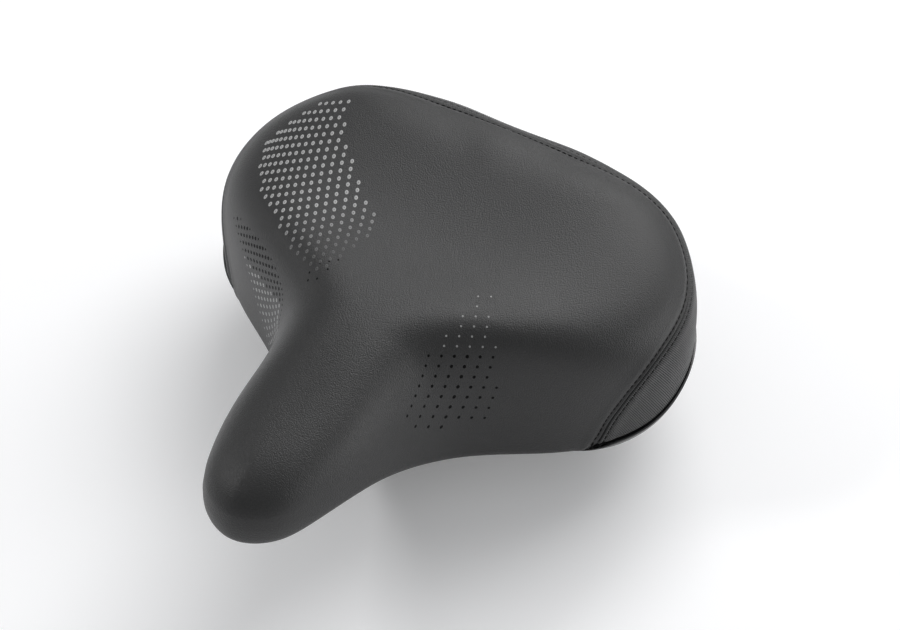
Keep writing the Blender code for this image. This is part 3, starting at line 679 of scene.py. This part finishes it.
def stitch_line(side):
    """Lengths, points and normals along a row of stitches: side 1 is on the cover, -1 on the panel."""
    s0 = SEAM_S[::3]
    along = SEAM_ALONG[::3]
    if side > 0:
        rows = [np.interp(STITCH_ACROSS, NEAR_SEAM, cover_steps(s)[:len(NEAR_SEAM)]) for s in s0]
        s, q = s0, np.array(rows)
    else:
        keep = rib_length(s0) > STITCH_ACROSS + 1
        s0, along = s0[keep], along[keep]
        s, q = panel_step(s0, STITCH_ACROSS / rib_sine(s0))
    return along, skin_point(s, q), skin_normal(s, q)


def one_stitch(start, along, points, normals):
    """A stitch's thread: out of the skin, over it and in again."""
    t = np.linspace(0.15, 0.85, 9)
    where = start + t * STITCH_PITCH
    at = np.stack([np.interp(where, along, points[:, k]) for k in range(3)], 1)
    up = np.stack([np.interp(where, along, normals[:, k]) for k in range(3)], 1)
    arch = np.sin(np.pi * (t - 0.1) / 0.8) ** 0.6 * 0.6 - 0.62
    thick = STITCH_R * (0.8 + 0.2 * np.sin(np.pi * t))
    return swept(at + up * arch[:, None], thick, 7, up)


def make_stitches():
    parts = []
    for side in (1, -1):
        along, points, normals = stitch_line(side)
        for k in range(int(along[0] / STITCH_PITCH) + 1, int(along[-1] / STITCH_PITCH)):
            stitch, faces = one_stitch(k * STITCH_PITCH, along, points, normals)
            parts.append((stitch, faces))
            parts.append((stitch * (-1, 1, 1), [face[::-1] for face in faces]))
    made = new_object("seam_stitches", joined("seam_stitches", parts), THREAD, TOP)
    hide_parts("seam_thread")


# The printed dots.

DOT_SIDES, WING_STRETCH = 14, 1.2
# Each ring of a dot, as its share of the dot's size, its height over the cover, and its share of the dot's
# painted light, which is lower in the middle.
DOT_RINGS = ((1.08, -0.02, 1), (1, 0.045, 1), (0.6, 0.05, 1), (0.34, 0.02, 0.62), (0.1, 0.015, 0.55))


def cover_tree(cover):
    mesh = cover.data
    return BVHTree.FromPolygons([v.co[:] for v in mesh.vertices], [p.vertices[:] for p in mesh.polygons])


def wing_dots():
    """(place, half-width, half-height, share of painted light) of the left wing's silver dots, painted light
    grey that dims towards the nose; a few are painted black, as in shade.
    """
    along, down = np.array([4.09, 0.76]), np.array([-0.68, -3.44])
    bends = {(2, 0): (6.9, 3.9), (1, 1): (1.5, 2.8), (0, 2): (-4.5, 1.5), (2, 1): (-6.4, 1.3),
             (0, 3): (-4.1, 0.5), (3, 0): (2.0, 1.5)}
    for j in range(-16, 7):
        first = -12 + (2 * (-12 - j) if j < -12 else round(0.75 * (j + 12)))
        last = min(6 if j < 4 else 9 - j, int((j + 16.4) * 0.37))
        for i in range(first, last + 1):
            at = np.array([-61.5, 38.7]) + i * along + j * down
            for (a, b), bend in bends.items():
                at = at + np.array(bend) * (i / 10) ** a * (j / 10) ** b
            # Painted light: each dot's light grey dims row by row towards the nose.
            fade = float(np.clip((5.2 - j) / 8, 0.12, 1))
            size = 0.78 + 0.22 * fade
            yield at, 0.8 * size, 1.1 * size * WING_STRETCH, 0.2 + 0.75 * fade**1.3
    # These dots and the small ones below are painted black, as in shade.
    for k in range(4):
        yield np.array([-76.5 - 1.9 * k, 94.3 - 1.1 * k]), 0.7, 0.55 * WING_STRETCH, 0
    for i, j in ((2, 5), (3, 5), (4, 5), (1, 6), (3, 6), (1, 7), (2, 7)):
        at = np.array([-61.5, 38.7]) + i * along + j * down + np.array((-1.4, 0.2))
        yield at, 0.4, 0.5 * WING_STRETCH, 0


def nose_dots():
    """The dots where the nose meets the right wing: painted black below, as silver dots in shade, and a few
    small ones above painted light grey, as catching the light.
    """
    spans = {-5: (-1, 1), -4: (-2, 4), -3: (-2, 4), -2: (-2, 4), -1: (-2, 4), 0: (-2, 3), 1: (-2, 3),
             2: (-2, 3), 3: (-1, 3), 4: (-1, 2), 5: (0, 2), 6: (0, 2), 7: (1, 1), 8: (1, 2)}
    for j, (first, last) in spans.items():
        for i in range(first, last + 1):
            at = np.array([-0.7 + 5.77 * i + 1.46 * j - 0.065 * j * j, -27.5 - 0.144 * i + 4.5 * j])
            middle = 1 - 0.25 * abs(i - 1) / 3 - 0.1 * max(j + 2, 0) / 4
            # Painted shade on the lower rows, painted light on the upper ones.
            if j < 3:
                yield at, 0.8 * middle, 0.92 * middle, 0
            else:
                yield at, 0.42, 0.45, 0.8


def wall_dots():
    """The left wing's front wall: rows painted black, as silver dots in shade, near the shoulder, and painted
    light grey, as catching the light, lower down.
    """
    right = spline([(0, (-93.6, 42.9)), (3, (-82.6, 29.4)), (6, (-76.9, 17.1)), (10, (-74.9, 6.9)),
                    (13, (-75.9, -0.1)), (16, (-76.7, -5.5))])
    for k in range(17):
        left, end = np.array([-96.7 + 0.98 * k, 43.4 - 3.52 * k]), right(k)
        count = min(round(np.linalg.norm(end - left) / 1.32) + 1, 11)
        # Painted light and shade: the share of each row painted light grey grows lower down the wall, and the
        # rest of the row is painted black.
        silver = np.clip((k - 4.2) / 7, 0, 1) ** 1.3
        sag = 1.2 * np.clip((k - 6) / 6, 0, 1)
        for t in np.linspace(0, 1, count):
            at = left + (end - left) * t - np.array([0, sag * math.sin(math.pi * t)])
            bright = t < silver
            edge = 0.6 if t in (0, 1) else 1
            yield at, 0.85 * edge, 0.85 * edge, 0.85 if bright else 0


def dot_disc(tree, at, half_width, half_height):
    """One dot, a thin disc that follows the cover, or None where it misses. at is across the view of AIM."""
    eye = AIM + BACK * DISTANCE
    target = AIM + RIGHT * at[0] + UPWARD * at[1]
    ray = Vector(target - eye).normalized()
    hit, normal, _, _ = tree.ray_cast(Vector(eye * MM), ray)
    if hit is None:
        return None
    centre, normal = np.array(hit) / MM, np.array(normal)
    up = UPWARD - normal * (UPWARD @ normal)
    up /= np.linalg.norm(up)
    side = np.cross(up, normal)
    turn = np.linspace(0, 2 * math.pi, DOT_SIDES, endpoint=False)[:, None]
    ring = side * np.cos(turn) * half_width + up * np.sin(turn) * half_height
    rings = []
    for share, lift, _ in DOT_RINGS:
        for p in centre + ring * share:
            near, its_normal, _, _ = tree.find_nearest(Vector(p * MM))
            rings.append(np.array(near) / MM + np.array(its_normal) * lift)
    index = np.arange(len(rings)).reshape(-1, DOT_SIDES)
    nxt = np.roll(index, -1, 1)
    faces = np.stack([index[:-1], nxt[:-1], nxt[1:], index[1:]], -1).reshape(-1, 4).tolist()
    return np.array(rings), faces + [index[-1].tolist()]


def make_dots(cover):
    """All the dots, as one piece, with each dot's painted light and shade in an attribute."""
    tree = cover_tree(cover)
    parts, painted_dot_lights = [], []
    for layout in (wing_dots, nose_dots, wall_dots):
        for at, half_width, half_height, painted_dot_light in layout():
            disc = dot_disc(tree, at, half_width, half_height)
            if disc:
                parts.append(disc)
                painted_dot_lights.append(painted_dot_light)
    mesh = joined("printed_dots", parts)
    # Each dot's painted light and shade, scaled ring by ring.
    attribute = mesh.attributes.new("painted_dot_light", "FLOAT", "POINT")
    shares = np.repeat([ring[2] for ring in DOT_RINGS], DOT_SIDES)
    attribute.data.foreach_set("value", np.outer(painted_dot_lights, shares).ravel().astype(np.float32))
    made = new_object("printed_dots", mesh, DOT_PAINTED_LIGHT, TOP)


# Base, foam, bumper and staples.

def shell_grid(s, lift=0.0):
    """Underside of the base shell: a level rim, a rise, then a flat middle. lift moves it up and out."""
    point, normal = brim_at(s)
    edge, land = point - normal * RIM_INSET, point - normal * (HEM_TUCK + FLAP + 1)
    inward = np.stack([0 * s, spine_y(s)], -1) - land
    level_at = np.concatenate([[0, 0.004], 0.15 * np.linspace(0, 1, 11)[1:], np.linspace(0.15, 1, 24)[1:]])
    plan = np.stack([edge, *(land + inward * part for part in level_at)], 1)
    plan[:, 1:12] += normal[:, None] * lift
    climb = np.clip((level_at / 0.15 - 0.02) / 0.98, 0, 1)
    level = np.concatenate([[0], climb * climb * (3 - 2 * climb)])
    rim = brim_z(point[:, 1])[:, None] - RIM_BELOW
    middle = eased(ARCH_Z, plan[..., 1])
    return np.concatenate([plan, (rim + (middle - rim) * level + lift)[..., None]], -1)


def make_shell():
    """The base, with two stiffening beads on each side that stop short of the spring."""
    s = np.linspace(0, BRIM_LENGTH, 170)
    lower = shell_grid(s)
    bead = np.zeros(lower.shape[:2])
    flat = np.clip((np.arange(lower.shape[1]) - 14) / 3, 0, 1)[None, :]
    for x in (9, 30):
        bead += np.exp(-((lower[..., 0] - x) / 1.3) ** 4) * 1.1
    away = ((lower[..., 0] - SPRING_X) / 20) ** 2 + ((lower[..., 1] - SPRING_Y) / 20) ** 2
    clear = 1 - np.exp(-away ** 3)
    ahead = np.clip((lower[..., 1] + 68) / 10, 0, 1)
    lower[..., 2] += bead * flat * clear * ahead * 0.9
    upper = shell_grid(s, PLASTIC)
    upper[:, 0] = lower[:, 0] + (0, 0, PLASTIC)
    ring = np.concatenate([lower[:, ::-1], upper], 1)
    shell = new_object("base_pan", grid_mesh("base_pan", ring), PAN, TOP, 40)
    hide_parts("base_shell")


def make_foam():
    s = np.linspace(0, BRIM_LENGTH, 120)
    steps = 2 + np.linspace(0, 1, 34) ** 0.9
    top = outward(skin_point(s[:, None], steps[None, :]), -SKIN - 2 * GAP)
    point, normal = brim_at(s)
    rim = np.concatenate([point - normal * 3.4, brim_z(point[:, 1:2]) - RIM_BELOW + PLASTIC + 2 * GAP], -1)
    bottom = shell_grid(s, PLASTIC + 2 * GAP)[:, ::-1]
    mesh = grid_mesh("foam_core", np.concatenate([bottom, rim[:, None], top], 1))
    foam = new_object("foam_core", mesh, FOAM, TOP)
    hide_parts("foam_pad")


def bumper_section(top, full, steps=12):
    """(inset, drop) points round the bumper: a flange, and a lip that follows the hem up to the angle top."""
    angles = np.linspace(top, math.pi / 2, steps)
    hem = np.stack([HEM_TUCK * (1 - np.cos(angles)), HEM_DROP * np.sin(angles)], 1)
    out = np.stack([-HEM_DROP * np.cos(angles), HEM_TUCK * np.sin(angles)], 1)
    out /= np.linalg.norm(out, axis=1)[:, None]
    thickness = np.linspace(LIP_T, LIP_ROOT_T, steps)[:, None] * full
    inner, outer = hem + out * 1.5 * GAP, hem + out * (1.5 * GAP + thickness)
    reach, above = HEM_TUCK + (FLANGE_REACH - HEM_TUCK) * full, HEM_DROP + 2 * GAP
    below = above + FLANGE_T * full
    flange = [(reach, above), (reach, below), (HEM_TUCK + 1.6 * full, below)]
    return np.vstack([flange, outer[::-1], inner])


def make_bumper():
    """The glossy rim under the back hem, which tapers to a tip at each end."""
    tip_at, tip_share = [0, 0.25, 0.6, 1.1, 2], [0.12, 0.6, 0.84, 0.97, 1]
    rest = np.linspace(BUMPER_START + tip_at[-1], BRIM_LENGTH, 170)
    s = np.concatenate([BUMPER_START + np.array(tip_at[:-1]), rest])
    point, normal = brim_at(s)
    tip = np.interp(s - BUMPER_START, tip_at, tip_share)
    full = eased([(BUMPER_START, 0.3), (BUMPER_FULL, 1)], s) * tip
    top = eased([(BUMPER_START, math.radians(75)), (BUMPER_FULL, LIP_TOP)], s)
    section = np.array([bumper_section(a, part) for a, part in zip(top, full)])
    plan = point[:, None] - normal[:, None] * section[..., :1]
    height = brim_z(point[:, 1])[:, None] - section[..., 1]
    mesh = grid_mesh("bumper", np.concatenate([plan, height[..., None]], -1), ring=True)
    work = bmesh.new()
    work.from_mesh(mesh)
    ends = [e for e in work.edges if e.is_boundary]
    bmesh.ops.holes_fill(work, edges=ends)
    bmesh.ops.recalc_face_normals(work, faces=work.faces)
    work.to_mesh(mesh)
    work.free()
    bumper = new_object("gloss_bumper", mesh, GLOSS, TOP, 50)
    bevel(bumper, 0.3, 3, 40)
    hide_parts("rear_bumper")


def make_staples():
    """Staples that hold the cover's flap under the base, ahead of the bumper."""
    parts = []
    for s in np.arange(12, BUMPER_START - 8, 13.0):
        spot, along = skin_point(s, 0.35), skin_point(s + 1, 0.35) - skin_point(s - 1, 0.35)
        along /= np.linalg.norm(along)
        t = np.linspace(-1, 1, 13)
        drop = 0.35 - 1.2 * np.abs(t)[:, None] ** 14
        path = spot + along * (t * 4.6)[:, None] + np.array([0, 0, -1]) * drop
        wire, faces = swept(path, 0.3, 8)
        parts += [(wire, faces), (wire * (-1, 1, 1), [face[::-1] for face in faces])]
    made = new_object("cover_staples", joined("cover_staples", parts), STAPLE, TOP)


# Rails, bridge, springs and fasteners.

def fillet(points, radii, steps=14):
    """The polyline with the numbered corners rounded to their radii."""
    out = [np.array(points[0], float)]
    for i in range(1, len(points) - 1):
        here = np.array(points[i], float)
        back, ahead = (np.array(points[j], float) - here for j in (i - 1, i + 1))
        back, ahead = back / np.linalg.norm(back), ahead / np.linalg.norm(ahead)
        half = math.acos(float(back @ ahead)) / 2
        middle = (back + ahead) / np.linalg.norm(back + ahead)
        centre = here + middle * radii[i] / math.sin(half)
        across = np.cross(np.cross(back, ahead), middle)
        across /= np.linalg.norm(across)
        for t in np.linspace(-1, 1, steps):
            turn = t * (math.pi / 2 - half)
            out.append(centre + radii[i] * (across * math.sin(turn) - middle * math.cos(turn)))
    return out + [np.array(points[-1], float)]


def make_rails():
    half = [(0, PIVOT_Y, PIVOT_Z), (LOOP_X, PIVOT_Y, PIVOT_Z), (RAIL_X, RAIL_FRONT_Y, RAIL_D / 2),
            (RAIL_X, RAIL_BACK_Y, RAIL_D / 2)]
    half = np.array(fillet(half, {1: LOOP_R, 2: RAIL_BEND_R})[1:])
    path = np.concatenate([half[::-1] * (-1, 1, 1), half])
    mesh = joined("rails", [swept(path, RAIL_D / 2, 28)])
    rails = new_object("rail_tube", mesh, BLACK_STEEL, UNDER)
    bevel(rails, 0.6, 3)
    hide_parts("rail_wire")


def arc(centre, radius, steps, start=0.0, end=360.0):
    """Points round a circle, or along part of it when start and end are given."""
    angles = np.radians(np.linspace(start, end, steps, endpoint=end - start < 360))
    return [(centre[0] + radius * math.cos(a), centre[1] + radius * math.sin(a)) for a in angles]


def plate(name, outlines, thickness, edge, shader, body, height, node_name):
    """Pressed plate with rounded edges: the first outline is its rim and the others are holes."""
    data = bpy.data.curves.new(name, "CURVE")
    data.dimensions = "2D"
    data.fill_mode = "BOTH"
    data.extrude = (thickness / 2 - edge) * MM
    data.bevel_depth = edge * MM
    data.bevel_resolution = 2
    data.offset = -edge * MM
    for outline in outlines:
        run = data.splines.new("POLY")
        run.points.add(len(outline) - 1)
        run.use_cyclic_u = True
        for spot, point in zip(run.points, outline):
            spot.co = (point[0] * MM, point[1] * MM, 0, 1)
    curve = bpy.data.objects.new(name, data)
    bpy.context.scene.collection.objects.link(curve)
    bpy.context.view_layer.update()
    mesh = bpy.data.meshes.new_from_object(curve.evaluated_get(bpy.context.evaluated_depsgraph_get()))
    bpy.data.objects.remove(curve)
    mesh.transform(Matrix.Translation((0, 0, height * MM)))
    made = new_object(name, mesh, shader, body, 40)
    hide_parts(node_name)
    return made


def make_bridge():
    right = [(40, SPRING_Y - 18), *arc((SPRING_X, SPRING_Y), 19.5, 33, -80, 100), (36, SPRING_Y + 13)]
    outline = right + [(-x, y) for x, y in reversed(right)]
    holes = [arc((0, SPRING_Y - 2), 9, 48)]
    plate("bridge_plate", [outline, *holes], BRIDGE_T, 0.5, BLACK_STEEL, UNDER,
          BRIDGE_BOTTOM + BRIDGE_T / 2, "spring_bridge")


def lathe(name, profile, centre, shader, body, node_name, round_edges=0.35, steps=48):
    """A closed (r, z) profile turned about Z."""
    profile = np.array(profile, float)
    turn = np.linspace(0, 2 * math.pi, steps, endpoint=False)
    rings = np.stack([profile[:, None, 0] * np.cos(turn), profile[:, None, 0] * np.sin(turn),
                      np.broadcast_to(profile[:, 1:2], (len(profile), steps))], -1)
    index = np.arange(len(profile) * steps).reshape(len(profile), steps)
    index = np.concatenate([index, index[:1]])
    nxt = np.roll(index, -1, 1)
    faces = np.stack([index[:-1], index[1:], nxt[1:], nxt[:-1]], -1).reshape(-1, 4).tolist()
    mesh = joined(name, [(rings.reshape(-1, 3) + centre, faces)])
    work = bmesh.new()
    work.from_mesh(mesh)
    bmesh.ops.remove_doubles(work, verts=work.verts, dist=0.001 * MM)
    bmesh.ops.dissolve_degenerate(work, edges=work.edges, dist=0.001 * MM)
    bmesh.ops.recalc_face_normals(work, faces=work.faces)
    work.to_mesh(mesh)
    work.free()
    made = new_object(name, mesh, shader, body, 40)
    if round_edges:
        bevel(made, round_edges, 2)
    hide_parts(node_name)
    return made


def bolt_profile(head_r, head_h, shank, tip):
    """Button head with a round socket, below a plain shank."""
    key = head_r * 0.4
    dome = [(head_r * math.cos(a), -0.35 * head_h - 0.65 * head_h * math.sin(a))
            for a in np.radians(np.linspace(0, 62, 7))]
    return [(0, tip), (shank * 0.8, tip), (shank, tip - 0.2 * shank), (shank, 0), (head_r, 0), *dome,
            (key, -head_h), (key, -0.45 * head_h), (0, -0.45 * head_h)]


def coil_line(steps=26):
    """Centre line of a spring with closed ends, from its lower to its upper face."""
    turns = np.linspace(0, SPRING_TURNS, int(SPRING_TURNS * steps) + 1)
    rise, ends = SPRING_WIRE * 1.04, 0.7
    low, high = SPRING_BOTTOM + SPRING_WIRE / 2, SPRING_TOP - SPRING_WIRE / 2
    z = np.interp(turns, [0, ends, SPRING_TURNS - ends, SPRING_TURNS],
                  [low, low + ends * rise, high - ends * rise, high])
    radius = SPRING_R - SPRING_NECK * np.clip((turns - SPRING_TURNS + 2.6) / 1.4, 0, 1)
    return np.stack([radius * np.cos(turns * 2 * math.pi), radius * np.sin(turns * 2 * math.pi), z], 1)


def make_springs():
    cup = [(SEAT_R, SEAT_LIP), (SEAT_R, -SEAT_T), (BOLT_HOLE_R, -SEAT_T), (BOLT_HOLE_R, 0),
           (SEAT_R - 1.5, 0), (SEAT_R - 1.5, SEAT_LIP)]
    washer = [(8.2, 1.4), (8.2, 0), (BOLT_HOLE_R, 0), (BOLT_HOLE_R, 1.4)]
    low, high = LOWER_SEAT_BOTTOM + SEAT_T, UPPER_SEAT_TOP - SEAT_T
    for end, side in (("left", -1), ("right", 1)):
        x = side * SPRING_X
        centre = np.array([x, SPRING_Y, 0.0])
        line = coil_line() * (side, 1, 1) + centre
        spring = new_object(f"spring_coil_{end}", joined("coil", [swept(line, SPRING_WIRE / 2, 16)]),
                            SPRING_STEEL, UNDER)
        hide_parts(f"coil_spring_{end}")
        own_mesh(spring)
        turned = (("spring_cup_lower", cup, low, UNDER, "lower_spring_seat"),
                  ("spring_cup_upper", [(r, -z) for r, z in cup], high, TOP, "upper_spring_seat"),
                  ("washer", washer, low + 0.3, UNDER, "lower_spring_washer"))
        for name, profile, z, body, replaced in turned:
            lathe(f"{name}_{end}", profile, centre + (0, 0, z), ZINC, body, f"{replaced}_{end}")
        bolts = (("bolt_lower", BRIDGE_BOTTOM - 0.3, 16, UNDER, "lower_spring_bolt"),
                 ("bolt_upper", high - 0.3, 8.2, TOP, "upper_spring_bolt"))
        for name, z, tip, body, replaced in bolts:
            lathe(f"{name}_{end}", bolt_profile(HEAD_R, HEAD_H, BOLT_R, tip), centre + (0, 0, z), ZINC, body,
                  f"{replaced}_{end}", 0.25)


def dress_cad():
    """Better materials and softer edges for the CAD nodes that stay."""
    shaders = {"black_steel": BLACK_STEEL, "zinc_steel": ZINC, "spring_steel": SPRING_STEEL}
    for part in frame["record"]["subparts"]:
        piece = frame["nodes"][part["node"]]
        if piece.hide_render or part["material_slot"] not in shaders:
            continue
        for slot in piece.material_slots:
            slot.material = shaders[part["material_slot"]]
        weld = piece.modifiers.new("Weld", "WELD")
        weld.merge_threshold = 0.005 * MM
        bevel(piece, 0.2, 2, 30)


# Studio.

def area_light(name, spot, target, width, height, power):
    """A soft light at spot, in metres, that faces target."""
    data = bpy.data.lights.new(name, "AREA")
    data.shape = "RECTANGLE"
    data.size, data.size_y, data.energy = width, height, power
    made = bpy.data.objects.new(name, data)
    bpy.context.scene.collection.objects.link(made)
    made.location = spot
    made.rotation_mode = "QUATERNION"
    made.rotation_quaternion = (Vector(target) - Vector(spot)).to_track_quat("-Z", "Y")


def make_studio():
    mesh = bpy.data.meshes.new("floor")
    mesh.from_pydata([(x * 6, y * 6, 0) for x, y in ((-1, -1), (1, -1), (1, 1), (-1, 1))], [], [(0, 1, 2, 3)])
    floor = bpy.data.objects.new("floor", mesh)
    bpy.context.scene.collection.objects.link(floor)
    shader, tree, surface = principled("floor_paper", (0.94, 0.94, 0.95), 0.9)
    tree.links.new(mixed(tree, noise(tree, 2, 2), (0.93, 0.93, 0.94), (0.95, 0.95, 0.96)),
                   surface.inputs["Base Color"])
    surface.inputs["Emission Color"].default_value = (1, 1, 1, 1)
    surface.inputs["Emission Strength"].default_value = 0.12
    mesh.materials.append(shader)
    area_light("overhead", (0.05, 0.95, 1.05), (0, 0.05, 0.1), 1.3, 0.8, 14)
    area_light("right_side", (1.2, 0.55, 0.32), (0, -0.05, 0.07), 0.5, 0.5, 4.6)
    area_light("left_front", (-0.95, -0.42, 0.95), (0, -0.1, 0.09), 0.25, 0.25, 4.2)
    world = bpy.data.worlds.new("studio")
    world.use_nodes = True
    world.node_tree.nodes["Background"].inputs["Color"].default_value = (0.9, 0.91, 0.92, 1)
    world.node_tree.nodes["Background"].inputs["Strength"].default_value = 0.38
    bpy.context.scene.world = world
    bpy.context.scene.view_settings.view_transform = "Standard"


def make_camera():
    data = bpy.data.cameras.new("camera")
    data.lens, data.sensor_width = LENS, 36
    camera = bpy.data.objects.new("camera", data)
    bpy.context.scene.collection.objects.link(camera)
    camera.location = (AIM + BACK * DISTANCE) * MM
    camera.rotation_mode = "QUATERNION"
    camera.rotation_quaternion = Vector(-BACK).to_track_quat("-Z", "Y")
    bpy.context.scene.camera = camera


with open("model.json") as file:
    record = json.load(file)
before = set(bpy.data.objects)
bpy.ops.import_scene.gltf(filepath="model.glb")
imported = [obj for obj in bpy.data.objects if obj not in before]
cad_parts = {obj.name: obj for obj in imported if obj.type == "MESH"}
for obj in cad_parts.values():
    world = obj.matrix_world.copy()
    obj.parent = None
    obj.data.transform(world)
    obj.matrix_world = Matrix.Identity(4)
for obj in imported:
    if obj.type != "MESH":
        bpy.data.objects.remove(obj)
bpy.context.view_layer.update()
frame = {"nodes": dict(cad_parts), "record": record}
COVER = make_cover()
make_panel()
make_stitches()
make_dots(COVER)
make_shell()
make_foam()
make_bumper()
make_staples()
make_rails()
make_bridge()
make_springs()
dress_cad()
make_studio()
make_camera()
